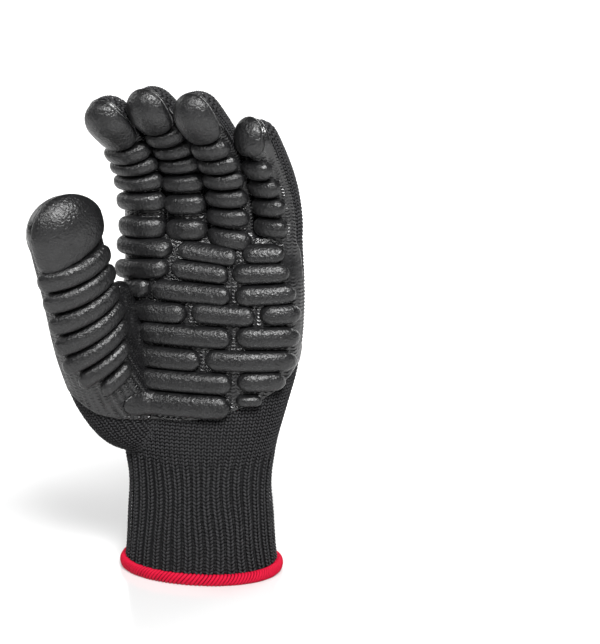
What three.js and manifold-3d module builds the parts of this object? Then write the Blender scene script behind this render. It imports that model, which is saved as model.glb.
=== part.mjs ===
// Anti-vibration glove for the left hand, shown worn: a knitted shell, a rubber coating over
// the palm side, and raised rubber cushions in rows across the palm, the fingers and the thumb.
// Millimetres. The origin is the centre of the cuff opening, +Z runs to the fingers,
// the palm faces -Y, the thumb is on the -X side.
import * as THREE from 'three';
import Module from 'manifold-3d';

// Driving dimensions
const HAND_LENGTH = 180;      // cuff opening to the finger roots
const PALM_WIDTH = 96;
const CUFF_DEPTH = 60;
const KNIT_THICKNESS = 1.8;
const COAT_LIFT = 0.3;        // gap between knit and coating
const COAT_THICKNESS = 1.2;
const PAD_LIFT = 0.7;         // gap between coating and cushions
const PAD_HEIGHT = 4.5;
const PAD_WIDTH = 9.4;        // one bar, along the hand
const PAD_PITCH = 12.2;       // bar to bar
const FINGER_WIDTH = 20.6;
const FINGER_DEPTH = 20;
const THUMB_WIDTH = 36;
const THUMB_DEPTH = 26;
const HEM_HEIGHT = 4.5;
const HEM_THICKNESS = 3.4;
const STALL_RISE = 4;         // finger stalls are joined on this far above the finger roots
const CUFF_TOP = 62;          // height where the rib ends and the plain knit begins
const SPLIT_GAP = 0.3;

const STALL_SPLIT = HAND_LENGTH + STALL_RISE;
const COAT_OUT = COAT_LIFT + COAT_THICKNESS;
const PAD_BASE = COAT_OUT + PAD_LIFT;

const wasm = await Module();
wasm.setup();

const rad = THREE.MathUtils.degToRad;
const vec = (x, y, z) => new THREE.Vector3(x, y, z);

// A smooth curve through the rows of a table whose first column is the position along it.
function readTable(table, k) {
  const n = table.length;
  let i = 0;
  while (i < n - 2 && k > table[i + 1][0]) i += 1;
  const slope = (j, c) => {
    const a = table[Math.max(j - 1, 0)];
    const b = table[Math.min(j + 1, n - 1)];
    return (b[c] - a[c]) / (b[0] - a[0]);
  };
  const h = table[i + 1][0] - table[i][0];
  const s = Math.min(Math.max((k - table[i][0]) / h, 0), 1);
  const row = [];
  for (let c = 1; c < table[i].length; c += 1) {
    const p = table[i][c];
    const q = table[i + 1][c];
    const value = p * (1 + 2 * s) * (1 - s) ** 2 + q * s * s * (3 - 2 * s)
      + slope(i, c) * h * s * (1 - s) ** 2 - slope(i + 1, c) * h * s * s * (1 - s);
    row.push(value);
  }
  return row;
}

// Cuff and hand: share of the length, then width and side shift as shares of PALM_WIDTH,
// depth as a share of CUFF_DEPTH, and the roundness of the section.
const HAND_TABLE = [
  [0.000, 0.890, 0.000, 1.000, 2.1],
  [0.033, 0.838, 0.000, 0.960, 2.1],
  [0.170, 0.800, 0.000, 0.917, 2.1],
  [0.280, 0.776, 0.000, 0.867, 2.2],
  [0.390, 0.845, 0.000, 0.833, 2.2],
  [0.500, 0.938, 0.010, 0.783, 2.3],
  [0.610, 0.990, 0.042, 0.717, 2.4],
  [0.720, 1.000, 0.073, 0.640, 2.5],
  [0.830, 0.990, 0.089, 0.560, 2.6],
  [0.917, 0.972, 0.094, 0.480, 2.8],
  [0.980, 0.950, 0.094, 0.385, 3.0],
  [1.010, 0.900, 0.094, 0.310, 3.0],
];

function handPoint(z, angle, off) {
  const [w, shift, d, n] = readTable(HAND_TABLE, z / HAND_LENGTH);
  const s = Math.sin(angle);
  const c = Math.cos(angle);
  const a = w * PALM_WIDTH / 2 + off;
  const b = d * CUFF_DEPTH / 2 + off;
  return vec(shift * PALM_WIDTH + a * Math.sign(s) * Math.abs(s) ** (2 / n),
    -b * Math.sign(c) * Math.abs(c) ** (2 / n), z);
}

// The same surface read by x instead of by angle, on the palm or the back.
function handPointAtX(z, x, off, side = 1) {
  const [w, shift, , n] = readTable(HAND_TABLE, z / HAND_LENGTH);
  const u = Math.min(Math.max((x - shift * PALM_WIDTH) / (w * PALM_WIDTH / 2), -0.998), 0.998);
  const angle = Math.asin(Math.sign(u) * Math.abs(u) ** (n / 2));
  return handPoint(z, side > 0 ? angle : Math.PI - angle, off);
}

// Fingers and thumb: a centre line that leans by its splay and lift and then curls over,
// with width and depth shares along it.
const FINGER_TABLE = [[0, 1, 1, 0], [0.5, 0.98, 0.96, 0], [1, 0.96, 0.9, 0]];
const THUMB_TABLE = [
  [0.00, 0.80, 1.00, 0.00],
  [0.15, 1.18, 1.25, -0.08],
  [0.30, 1.25, 1.25, -0.11],
  [0.50, 1.12, 1.12, -0.08],
  [0.75, 1.00, 1.00, 0.00],
  [1.00, 0.98, 0.88, 0.00],
];

function makeDigit(spec) {
  const d = { ...spec };
  d.tube = d.length - d.cap;
  const [splay, lift, curl, roll] = [d.splay, d.lift, d.curl, d.roll].map(rad);
  const side0 = vec(Math.cos(splay), 0, -Math.sin(splay));
  const up0 = vec(Math.sin(splay), 0, Math.cos(splay));
  const along0 = up0.clone().multiplyScalar(Math.cos(lift)).add(vec(0, -Math.sin(lift), 0));
  const palm0 = vec(0, -Math.cos(lift), 0).addScaledVector(up0, -Math.sin(lift));
  const bend = palm0.clone().multiplyScalar(Math.cos(curl)).addScaledVector(side0, -Math.sin(curl));
  const across = along0.clone().cross(bend);
  const turn = roll - curl;
  const steps = 120;
  d.frames = [];
  const at = vec(...d.root);
  for (let i = 0; i <= steps; i += 1) {
    const k = i / steps;
    const s = Math.min(Math.max((k - d.bendFrom) / (1 - d.bendFrom), 0), 1);
    const flex = rad(d.flex * s * s * (3 - 2 * s));
    const along = along0.clone().multiplyScalar(Math.cos(flex)).addScaledVector(bend, Math.sin(flex));
    const inner = bend.clone().multiplyScalar(Math.cos(flex)).addScaledVector(along0, -Math.sin(flex));
    const palm = inner.clone().multiplyScalar(Math.cos(turn)).addScaledVector(across, -Math.sin(turn));
    const side = across.clone().multiplyScalar(Math.cos(turn)).addScaledVector(inner, Math.sin(turn));
    if (i > 0) at.addScaledVector(along, d.tube / steps);
    d.frames.push({ at: at.clone(), along, palm, side });
  }
  return d;
}

function frameAt(d, t) {
  const x = Math.min(Math.max(t / d.tube, 0), 1) * (d.frames.length - 1);
  const i = Math.min(Math.floor(x), d.frames.length - 2);
  const [p, q] = [d.frames[i], d.frames[i + 1]];
  const mix = (key) => p[key].clone().lerp(q[key], x - i);
  return { at: mix('at'), along: mix('along').normalize(), palm: mix('palm').normalize(), side: mix('side').normalize() };
}

// A point on the tube at distance t and angle round it, 0 on the palm side.
function tubePoint(d, t, angle, off) {
  const f = frameAt(d, t);
  const [w, depth, shift] = readTable(d.table, t / d.tube);
  const a = w * d.width / 2 + off;
  const b = depth * d.depth / 2 + off;
  return f.at.addScaledVector(f.side, shift * d.width + a * Math.sin(angle)).addScaledVector(f.palm, b * Math.cos(angle));
}

// A point on the rounded end at a latitude above the tube.
function endPoint(d, latitude, angle, off) {
  const f = frameAt(d, d.tube);
  const [w, depth, shift] = readTable(d.table, 1);
  const c = Math.cos(latitude);
  return f.at.addScaledVector(f.side, shift * d.width + (w * d.width / 2 + off) * c * Math.sin(angle))
    .addScaledVector(f.palm, (depth * d.depth / 2 + off) * c * Math.cos(angle))
    .addScaledVector(f.along, (d.cap + off) * Math.sin(latitude));
}

// A walk up the palm side and on over the tip: t runs past the tube's end over the rounded end.
function walkPoint(d, t, angle, off) {
  if (t <= d.tube) return tubePoint(d, t, angle, off);
  const f = frameAt(d, d.tube);
  const [w, depth] = readTable(d.table, 1);
  const b = depth * d.depth / 2;
  const over = (t - d.tube) / ((b + d.cap) / 2);
  return f.at.addScaledVector(f.side, (w * d.width / 2 + off) * Math.sin(angle))
    .addScaledVector(f.palm, (b + off) * Math.cos(angle) * Math.cos(over))
    .addScaledVector(f.along, (d.cap + off) * Math.cos(angle) * Math.sin(over));
}

const finger = { lift: 0, width: FINGER_WIDTH, depth: FINGER_DEPTH, table: FINGER_TABLE };
const capOf = (width) => 0.55 * width;
const digits = {
  index: makeDigit({ ...finger, root: [-23.8, 0, HAND_LENGTH - 48], splay: -1.5, curl: 17, roll: 6, bendFrom: 0.44, flex: 53, length: 134, cap: capOf(FINGER_WIDTH) }),
  middle: makeDigit({ ...finger, root: [0.4, 0, HAND_LENGTH - 42], splay: -3.2, curl: 15, roll: 8, bendFrom: 0.46, flex: 53, length: 133, cap: capOf(FINGER_WIDTH) }),
  ring: makeDigit({ ...finger, root: [19.8, 0, HAND_LENGTH - 44], splay: 1.2, curl: 19, roll: 11, bendFrom: 0.3, flex: 47, length: 133, cap: capOf(FINGER_WIDTH) }),
  little: makeDigit({ ...finger, root: [43.8, 0, HAND_LENGTH - 52], splay: 1.2, curl: 26, roll: 20, bendFrom: 0.42, flex: 34, length: 119, width: 18.5, depth: 18.5, cap: capOf(18.5) }),
  thumb: makeDigit({ root: [-17.6, 0.5, HAND_LENGTH - 111.5], lift: 25, splay: -30, curl: -89, roll: -32, bendFrom: 0, flex: 26, length: 158.5, width: THUMB_WIDTH, depth: THUMB_DEPTH, table: THUMB_TABLE, cap: 16.2 }),
};

// A closed solid from shared points and triangles, turned so that its faces point out.
function solid(points, faces) {
  let volume = 0;
  for (const [a, b, c] of faces) volume += points[a].dot(points[b].clone().cross(points[c]));
  const order = volume > 0 ? faces : faces.map(([a, b, c]) => [a, c, b]);
  return new wasm.Manifold(new wasm.Mesh({
    numProp: 3,
    vertProperties: new Float32Array(points.flatMap((p) => [p.x, p.y, p.z])),
    triVerts: new Uint32Array(order.flat()),
  }));
}

// Skin over a stack of closed sections, with a point that closes each end.
function loft(rings, first, last) {
  const points = rings.flat();
  const n = rings[0].length;
  const faces = [];
  for (let r = 0; r + 1 < rings.length; r += 1) {
    for (let j = 0; j < n; j += 1) {
      const [a, b] = [r * n + j, r * n + (j + 1) % n];
      faces.push([a, b, b + n], [a, b + n, a + n]);
    }
  }
  points.push(first, last);
  const [s, e] = [points.length - 2, points.length - 1];
  const top = (rings.length - 1) * n;
  for (let j = 0; j < n; j += 1) {
    faces.push([s, (j + 1) % n, j], [e, top + j, top + (j + 1) % n]);
  }
  return solid(points, faces);
}

const middleOf = (ring) => ring.reduce((sum, p) => sum.add(p), vec(0, 0, 0)).divideScalar(ring.length);

// Angles round a section: all the way, or an arc on the palm side.
function angles(count, half = Math.PI) {
  const list = [];
  if (half >= Math.PI) {
    for (let j = 0; j < count; j += 1) list.push(2 * Math.PI * j / count);
  } else {
    for (let j = 0; j <= count; j += 1) list.push(-half + 2 * half * j / count);
  }
  return list;
}

const FINGER_STATIONS = [0, 0.3, 0.48, 0.6, 0.7, 0.8, 0.9, 1];
const THUMB_STATIONS = [0, 0.12, 0.25, 0.4, 0.57, 0.75, 0.88, 1];
const END_STATIONS = [0.55, 1.1];
const HAND_STATIONS = [0.12, 0.22, 0.32, 0.42, 0.53, 0.64, 0.76, 0.88, 0.96, 1.01];

function digitBody(d, off, list, from = 0) {
  const stations = d.width > 30 ? THUMB_STATIONS : FINGER_STATIONS;
  const rings = stations.filter((k) => k >= from).map((k) => list.map((a) => tubePoint(d, k * d.tube, a, off)));
  for (const latitude of END_STATIONS) rings.push(list.map((a) => endPoint(d, latitude, a, off)));
  return loft(rings, middleOf(rings[0]), endPoint(d, Math.PI / 2, 0, off));
}

function handBody(off, list, from, to = 1.01, bottom = null) {
  const stations = HAND_STATIONS.filter((k) => k > from && k <= to);
  const rings = [from, ...stations].map((k) => list.map((a) => handPoint(k * HAND_LENGTH, a, off)));
  for (const p of rings[rings.length - 1]) p.z += 0.8 * off;
  if (bottom !== null) rings.unshift(rings[0].map((p) => vec(p.x, p.y, bottom)));
  const last = middleOf(rings[rings.length - 1]);
  last.z += 0.3;
  return loft(rings, middleOf(rings[0]), last);
}

// The web between thumb and palm: distance below the finger roots, centre and size of its
// sections.
const WEB_TABLE = [
  [88, -29, -10, 30, 28],
  [72, -33.5, -12, 33, 29],
  [56, -36, -14, 29, 28],
  [42, -37.5, -16.5, 22, 25],
  [31, -37, -18.5, 14, 20],
  [24, -36.5, -20, 6, 11],
];
const WEB_END = 23;

function webBody(off, count = 10) {
  const rings = WEB_TABLE.map(([down, x, y, w, d]) => angles(count).map((a) => vec(
    x + (w / 2 + off) * Math.sin(a), y - (d / 2 + off) * Math.cos(a), HAND_LENGTH - down + (down < 50 ? off : 0))));
  const [, x, y] = WEB_TABLE[WEB_TABLE.length - 1];
  return loft(rings, middleOf(rings[0]), vec(x, y, HAND_LENGTH - WEB_END + off));
}

// The whole hand form grown or shrunk by an offset.
function handForm(off, ends = null) {
  const fine = off > -1;
  const [handList, fingerList, thumbList] = fine ? [angles(24), angles(12), angles(16)] : [angles(16), angles(6), angles(8)];
  let form = handBody(off, handList, ends ? ends.from : 0, 1.01, ends ? ends.bottom : null);
  for (const [name, d] of Object.entries(digits)) {
    form = form.add(digitBody(d, off, name === 'thumb' ? thumbList : fingerList));
  }
  return form.add(webBody(off, fine ? 10 : 8));
}

function boxSolid(x, y, z, w, d, h, turn = null) {
  const geometry = new THREE.BoxGeometry(w, d, h);
  if (turn) geometry.applyMatrix4(turn);
  else geometry.translate(x, y, z);
  return solidFromGeometry(geometry);
}

function solidFromGeometry(geometry) {
  const position = geometry.attributes.position;
  const index = geometry.index ? Array.from(geometry.index.array) : [...Array(position.count).keys()];
  const seen = new Map();
  const points = [];
  const remap = [];
  for (let i = 0; i < position.count; i += 1) {
    const p = vec(position.getX(i), position.getY(i), position.getZ(i));
    const key = p.toArray().map((v) => v.toFixed(4)).join(',');
    if (!seen.has(key)) {
      seen.set(key, points.length);
      points.push(p);
    }
    remap.push(seen.get(key));
  }
  const faces = [];
  for (let i = 0; i < index.length; i += 3) {
    faces.push([remap[index[i]], remap[index[i + 1]], remap[index[i + 2]]]);
  }
  return solid(points, faces);
}

// Knitted shell: the hand form less its own inside, open at the cuff.
const outside = handForm(0, { from: (HEM_HEIGHT + 0.35) / HAND_LENGTH, bottom: null });
const inside = handForm(-KNIT_THICKNESS, { from: (HEM_HEIGHT + 0.35) / HAND_LENGTH, bottom: -5 });
const shell = outside.subtract(inside);

// The shell is divided where the ribbed cuff ends and where the stalls begin.
const cuffCut = boxSolid(0, 0, CUFF_TOP, 1.4 * PALM_WIDTH, 1.6 * CUFF_DEPTH, SPLIT_GAP);
const fingerCut = boxSolid(8, 0, STALL_SPLIT, 1.4 * PALM_WIDTH, 3 * FINGER_DEPTH, SPLIT_GAP);
const thumbAt = frameAt(digits.thumb, 0.79 * digits.thumb.tube);
const thumbTurn = new THREE.Matrix4().makeBasis(thumbAt.side, thumbAt.palm, thumbAt.along).setPosition(thumbAt.at);
const thumbCut = boxSolid(0, 0, 0, THUMB_WIDTH + 5, THUMB_DEPTH + 8, SPLIT_GAP, thumbTurn);
const shellPieces = shell.subtract(cuffCut).subtract(fingerCut).subtract(thumbCut).decompose()
  .filter((piece) => piece.volume() > 20);
const knit = {};
for (const piece of shellPieces) {
  const box = piece.boundingBox();
  const x = (box.min[0] + box.max[0]) / 2;
  if (box.min[2] < CUFF_TOP - 12) knit.cuff = piece;
  else if (box.min[2] < CUFF_TOP + 8) knit.hand = piece;
  else if (box.min[2] < STALL_SPLIT - 5) knit.thumb = piece;
  else if (x < -20) knit.index = piece;
  else if (x < 4) knit.middle = piece;
  else if (x < 27) knit.ring = piece;
  else knit.little = piece;
}

// Coating: palm side of the hand up to its curved lower edge, the finger fronts, the tips,
// the thumb front and the saddle that runs round the web. The edge runs through points given
// by x and by the distance below the finger roots.
const COAT_EDGE = [
  [62, -120], [62, 54], [54, 62], [50, 70], [44, 76.8], [36, 82.4], [23, 87], [11, 90.8],
  [-4, 93.2], [-21, 93], [-33, 91], [-44, 87.5], [-50, 83], [-58, 75.5], [-67, 66], [-78, 51],
  [-110, 10], [-110, -120],
];
const edgeShape = new THREE.Shape(COAT_EDGE.map(([x, down]) => new THREE.Vector2(x, HAND_LENGTH - down)));
const edgePrism = new THREE.ExtrudeGeometry(edgeShape, { depth: 170, bevelEnabled: false, steps: 1 });
edgePrism.rotateX(Math.PI / 2);
edgePrism.translate(0, 60, 0);
const edgeSolid = solidFromGeometry(edgePrism);

function coatForm(off) {
  let form = handBody(off, angles(12, Math.PI / 2), 0.45);
  for (const [name, d] of Object.entries(digits)) {
    const thumb = name === 'thumb';
    form = form.add(digitBody(d, off, angles(thumb ? 8 : 6, Math.PI / 2), thumb ? 0.1 : 0.25));
    const rings = END_STATIONS.map((latitude) => angles(thumb ? 16 : 12).map((a) => endPoint(d, latitude, a, off)));
    form = form.add(loft(rings, middleOf(rings[0]), endPoint(d, Math.PI / 2, 0, off)));
  }
  const saddle = webBody(off).intersect(boxSolid(-45, -20, HAND_LENGTH - 30, 60, 80, 22));
  const front = webBody(off).intersect(boxSolid(-14, -40, HAND_LENGTH - 65, 46, 60, 60));
  return form.add(front).intersect(edgeSolid).add(saddle);
}
let coat = coatForm(COAT_OUT);

// A cushion: a bar with rounded ends and a domed top, laid on a surface given by a function
// of the place across, the place along and the height above the surface.
function cushion(surface, { u0, u1, v, half, skew = 0, height = PAD_HEIGHT, columns = 6 }) {
  const c = columns > 6
    ? [-1, -0.94, -0.66, -0.33, 0, 0.33, 0.66, 0.94, 1]
    : [-1, -0.9, -0.46, 0, 0.46, 0.9, 1];
  const e = [-1, -0.84, -0.36, 0.36, 0.84, 1];
  const rise = [0, 0.68, 1, 1, 0.68, 0];
  const um = (u0 + u1) / 2;
  const uh = (u1 - u0) / 2;
  const points = [surface(u0, v - skew, PAD_BASE + 0.3)];
  for (let i = 1; i < c.length - 1; i += 1) {
    const reach = half * (1 - Math.abs(c[i]) ** 5) ** 0.2;
    const tall = height * (1 - Math.abs(c[i]) ** 8) ** (1 / 3);
    for (let j = 0; j < 6; j += 1) {
      points.push(surface(um + uh * c[i], v + skew * c[i] + reach * e[j], PAD_BASE + tall * rise[j]));
    }
  }
  points.push(surface(u1, v + skew, PAD_BASE + 0.3));
  const last = points.length - 1;
  const faces = [[0, 6, 1], [last, last - 6, last - 1]];
  for (let j = 0; j < 5; j += 1) {
    faces.push([0, 1 + j, 2 + j], [last, last - 5 + j, last - 6 + j]);
  }
  for (let i = 0; i + 3 < c.length; i += 1) {
    const b = 1 + 6 * i;
    for (let j = 0; j < 5; j += 1) faces.push([b + j, b + 6 + j, b + 7 + j], [b + j, b + 7 + j, b + 1 + j]);
    faces.push([b, b + 5, b + 11], [b, b + 11, b + 6]);
  }
  return solid(points, faces);
}

// Three small bumps are moulded in one with the coating: one at the heel, two at the thumb's root.
const moulded = (surface) => (u, v, off) => surface(u, v, off < PAD_BASE + 0.4 ? 0.6 : off - 0.4);
coat = coat.add(cushion(moulded((u, v, off) => handPointAtX(v, u, off)), { u0: 24.8, u1: 36.5, v: HAND_LENGTH - 81, half: 3 }));
for (const [u0, u1, row] of [[-52, 28, 5], [-42, 8, 6]]) {
  coat = coat.add(cushion(moulded((u, v, off) => tubePoint(digits.thumb, v, rad(u), off)),
    { u0, u1, v: digits.thumb.tube - 18 - row * PAD_PITCH, half: 4.6 }));
}
coat = coat.subtract(handForm(COAT_LIFT));
const coating = coat.decompose().sort((a, b) => b.volume() - a.volume())[0];

const pads = {};

// Palm rows from the finger roots to the heel: distance below the roots, then each bar's ends,
// shift and half width.
const PALM_ROWS = {
  a: [5.4, [[-37.5, -9, 0.4, 4.0], [-4.8, 24, -1.1, 3.8], [26.8, 46, -0.3, 4.0]]],
  b: [15.7, [[-39, -10.2, -0.7, 4.3], [-7.4, 20.2, 0.1, 4.2], [22.6, 48.5, 0.2, 4.3]]],
  c: [26.4, [[-34, -20, -0.4, 4.2], [-17.2, 21.6, 0, 4.4], [24, 51.5, 0, 4.4]]],
  d: [37, [[-28.7, -0.4, -0.4, 4.5], [2.6, 33.4, 0.2, 4.5], [36.6, 53.5, 0.6, 4.5]]],
  e: [48.4, [[-24.4, 22, 0, 4.7], [24.8, 54.5, 0.2, 4.7]]],
  f: [60.4, [[-27.5, 7.2, -0.3, 4.7], [10, 53.5, 0, 4.7]]],
  g: [72, [[-25, 22.6, 0, 4.7], [25.8, 46.5, 0.8, 4.4]]],
  h: [83.2, [[-30.5, 21.5, -0.8, 4.6]]],
};
for (const [row, [down, bars]] of Object.entries(PALM_ROWS)) {
  bars.forEach(([x0, x1, dz, half], i) => {
    pads[`pad_palm_${row}${i + 1}`] = cushion((u, v, off) => handPointAtX(v, u, off), {
      u0: x0, u1: x1, v: HAND_LENGTH - down + dz, half, skew: -0.02 * (x1 - x0) / 2, columns: x1 - x0 > 45 ? 8 : 6,
    });
  });
}

// Bars along the fingers and thumb, counted from the tip pad down, and the tip pads themselves.
const BAR_ROWS = {
  index: { first: 19, arcs: [[-60, 58], [-60, 58], [-60, 57], [-60, 55], [-60, 52]] },
  middle: { first: 13.8, arcs: [[-42, 52], [-42, 52], [-41, 52], [-40, 50], [-39, 48], [-40, 46]] },
  ring: { first: 16.2, arcs: [[-38, 52], [-38, 52], [-40, 52], [-40, 50], [-42, 48], [-44, 44]] },
  little: { first: 17, arcs: [[-60, 36], [-56, 40], [-50, 42], [-44, 42]] },
  thumb: { first: 18, arcs: [[-60, 53], [-60, 53], [-60, 52], [-60, 50], [-58, 46]] },
};
const TIP_PADS = {
  index: { over: 24, arc: 52 },
  middle: { over: 24, arc: 52 },
  ring: { over: 24, arc: 52 },
  little: { over: 21, arc: 46 },
  thumb: { over: 23, arc: 62 },
};
for (const [name, { first, arcs }] of Object.entries(BAR_ROWS)) {
  const d = digits[name];
  arcs.forEach(([a0, a1], i) => {
    pads[`pad_${name}_${i + 1}`] = cushion((u, v, off) => tubePoint(d, v, rad(u), off), {
      u0: a0, u1: a1, v: d.tube - first - PAD_PITCH * i, half: i === 5 && name !== 'thumb' ? 3.8 : PAD_WIDTH / 2,
    });
  });
  const start = d.tube - first + PAD_WIDTH / 2 + 2.4;
  const stop = d.tube + TIP_PADS[name].over;
  pads[`pad_${name}_tip`] = tipCushion(d, start, stop, rad(TIP_PADS[name].arc));
}

// A tip pad: an oval dome that starts on the finger front and runs up over the tip.
function tipCushion(d, start, stop, arc) {
  const rings = [];
  const steps = 12;
  const shares = [[1, 0], [0.93, 0.6], [0.66, 0.96], [0.3, 1]];
  const mid = (start + stop) / 2;
  const reach = (stop - start) / 2;
  const place = (share, lift, a) => walkPoint(d, mid + reach * share * Math.cos(a) * (1 - 0.06 * Math.sin(a) ** 2),
    arc * share * Math.sign(Math.sin(a)) * Math.abs(Math.sin(a)) ** 0.8, PAD_BASE + PAD_HEIGHT * lift);
  for (const [share, lift] of [[0.4, 0.14], [0.76, 0.1], [1, 0.03], ...shares.slice(1)]) {
    rings.push(angles(steps).map((a) => place(share, lift, a)));
  }
  return loft(rings, place(0, 0.15, 0), place(0, 1.02, 0));
}

// Nothing rests inside its neighbour: cushions are trimmed by the form under them.
const cleared = handForm(COAT_OUT + 0.12).add(coatForm(COAT_OUT + 0.12));
for (const name of Object.keys(pads)) {
  if (pads[name].intersect(cleared).volume() > 0.01) {
    const parts = pads[name].subtract(cleared).decompose();
    pads[name] = parts.sort((a, b) => b.volume() - a.volume())[0];
  }
}

// Red hem rolled round the cuff opening.
function hemRoll() {
  const count = 32;
  const profile = [[1, 0.14], [0.75, 0.84], [0, 1], [-0.8, 0.84], [-1, 0.1], [0, 0]];
  const points = [];
  for (let j = 0; j < count; j += 1) {
    for (const [out, up] of profile) {
      const p = handPoint(0, 2 * Math.PI * j / count, -0.6 + out * HEM_THICKNESS / 2);
      points.push(vec(p.x, p.y, up * HEM_HEIGHT));
    }
  }
  const m = profile.length;
  const faces = [];
  for (let j = 0; j < count; j += 1) {
    for (let i = 0; i < m; i += 1) {
      const [a, b] = [j * m + i, j * m + (i + 1) % m];
      const [c, d] = [((j + 1) % count) * m + i, ((j + 1) % count) * m + (i + 1) % m];
      faces.push([a, b, d], [a, d, c]);
    }
  }
  return solid(points, faces);
}

// A bare patch on the back of the hand.
const LABEL_WIDTH = 46;
const LABEL_BOTTOM = 112;
const LABEL_TOP = 158;
function labelPatch() {
  const [nu, nv] = [4, 2];
  const points = [];
  for (const off of [COAT_LIFT, COAT_LIFT + 0.9]) {
    for (let i = 0; i <= nv; i += 1) {
      for (let j = 0; j <= nu; j += 1) {
        const z = LABEL_BOTTOM + (LABEL_TOP - LABEL_BOTTOM) * i / nv;
        points.push(handPointAtX(z, 8 + LABEL_WIDTH * (j / nu - 0.5), off, -1));
      }
    }
  }
  const n = (nu + 1) * (nv + 1);
  const at = (i, j) => i * (nu + 1) + j;
  const faces = [];
  for (let i = 0; i < nv; i += 1) {
    for (let j = 0; j < nu; j += 1) {
      const [a, b, c, d] = [at(i, j), at(i, j + 1), at(i + 1, j + 1), at(i + 1, j)];
      faces.push([a, c, b], [a, d, c], [n + a, n + b, n + c], [n + a, n + c, n + d]);
    }
  }
  const rim = [];
  for (let j = 0; j < nu; j += 1) rim.push(at(0, j));
  for (let i = 0; i < nv; i += 1) rim.push(at(i, nu));
  for (let j = nu; j > 0; j -= 1) rim.push(at(nv, j));
  for (let i = nv; i > 0; i -= 1) rim.push(at(i, 0));
  rim.forEach((a, i) => {
    const b = rim[(i + 1) % rim.length];
    faces.push([a, b, n + b], [a, n + b, n + a]);
  });
  return solid(points, faces);
}

const knitMaterial = new THREE.MeshStandardMaterial({ color: 0x373738, roughness: 0.9, metalness: 0 });
const coatMaterial = new THREE.MeshStandardMaterial({ color: 0x26272a, roughness: 0.5, metalness: 0 });
const padMaterial = new THREE.MeshStandardMaterial({ color: 0x2d2e30, roughness: 0.45, metalness: 0 });
const hemMaterial = new THREE.MeshStandardMaterial({ color: 0xc8102e, roughness: 0.75, metalness: 0 });
const labelMaterial = new THREE.MeshStandardMaterial({ color: 0x1c1c1e, roughness: 0.55, metalness: 0 });

const glove = new THREE.Group();
glove.name = 'anti_vibration_glove';

function addPiece(name, body, material) {
  const { vertProperties, triVerts, numProp } = body.getMesh();
  const geometry = new THREE.BufferGeometry();
  const position = new Float32Array(vertProperties.length / numProp * 3);
  for (let i = 0; i < position.length / 3; i += 1) {
    for (let c = 0; c < 3; c += 1) position[3 * i + c] = vertProperties[numProp * i + c];
  }
  geometry.setAttribute('position', new THREE.BufferAttribute(position, 3));
  geometry.setIndex(new THREE.BufferAttribute(new Uint32Array(triVerts), 1));
  geometry.computeVertexNormals();
  const mesh = new THREE.Mesh(geometry, material);
  mesh.name = name;
  glove.add(mesh);
}

for (const [name, body] of Object.entries(knit)) addPiece(`knit_${name}`, body, knitMaterial);
addPiece('coating', coating, coatMaterial);
addPiece('hem_roll', hemRoll(), hemMaterial);
addPiece('back_patch', labelPatch(), labelMaterial);
for (const [name, body] of Object.entries(pads)) addPiece(name, body, padMaterial);

export default glove;
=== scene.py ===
import math

import bpy
import numpy as np
from mathutils import Matrix


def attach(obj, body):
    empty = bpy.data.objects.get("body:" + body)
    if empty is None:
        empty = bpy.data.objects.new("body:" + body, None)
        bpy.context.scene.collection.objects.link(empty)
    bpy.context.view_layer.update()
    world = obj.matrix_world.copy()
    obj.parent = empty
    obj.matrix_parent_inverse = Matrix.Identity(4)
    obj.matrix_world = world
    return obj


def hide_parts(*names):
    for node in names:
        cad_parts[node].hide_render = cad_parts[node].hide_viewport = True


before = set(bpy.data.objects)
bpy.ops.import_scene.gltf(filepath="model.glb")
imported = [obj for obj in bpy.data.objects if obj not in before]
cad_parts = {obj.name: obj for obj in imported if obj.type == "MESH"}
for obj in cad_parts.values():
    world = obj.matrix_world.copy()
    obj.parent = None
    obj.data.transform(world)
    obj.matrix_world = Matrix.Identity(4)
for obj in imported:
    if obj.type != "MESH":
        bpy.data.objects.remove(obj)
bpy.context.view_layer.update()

MM = 0.001

# Camera: a long lens in front of the palm and a little to its little-finger side, with the
# glove at the left of the picture, as the photograph has it.
VIEW_TURN = math.radians(16)
VIEW_RISE = math.radians(14)
VIEW_DISTANCE = 1000
VIEW_FOCAL_PX = 1923
PICTURE_PX = (600, 644)
SENSOR = 36
AIM_ROUNDS = 6
HEART = np.array([0.0, 0.0, 131.0])
HEART_PX = (198.4, 326.9)

towards = np.array([
    math.sin(VIEW_TURN) * math.cos(VIEW_RISE),
    -math.cos(VIEW_TURN) * math.cos(VIEW_RISE),
    math.sin(VIEW_RISE),
])
eye = HEART + VIEW_DISTANCE * towards
aim = HEART.copy()
for _ in range(AIM_ROUNDS):
    back = (eye - aim) / np.linalg.norm(eye - aim)
    right = np.cross([0.0, 0.0, 1.0], back)
    right /= np.linalg.norm(right)
    up = np.cross(back, right)
    seen = HEART - eye
    depth = -seen @ back
    miss_x = PICTURE_PX[0] / 2 + VIEW_FOCAL_PX * (seen @ right) / depth - HEART_PX[0]
    miss_y = PICTURE_PX[1] / 2 - VIEW_FOCAL_PX * (seen @ up) / depth - HEART_PX[1]
    scale = VIEW_DISTANCE / VIEW_FOCAL_PX
    aim = aim + right * miss_x * scale - up * miss_y * scale


def add_object(name, data):
    """A new object of the scene with this data, at the origin."""
    thing = bpy.data.objects.new(name, data)
    bpy.context.collection.objects.link(thing)
    return thing


lens = bpy.data.cameras.new("camera")
lens.sensor_width = SENSOR
lens.lens = VIEW_FOCAL_PX * SENSOR / PICTURE_PX[1]
lens.clip_start = 0.05
lens.clip_end = 20
camera = add_object("camera", lens)
rows = [[right[i], up[i], back[i], eye[i] * MM] for i in range(3)]
camera.matrix_world = Matrix(rows + [[0, 0, 0, 1]])
bpy.context.scene.camera = camera


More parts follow.
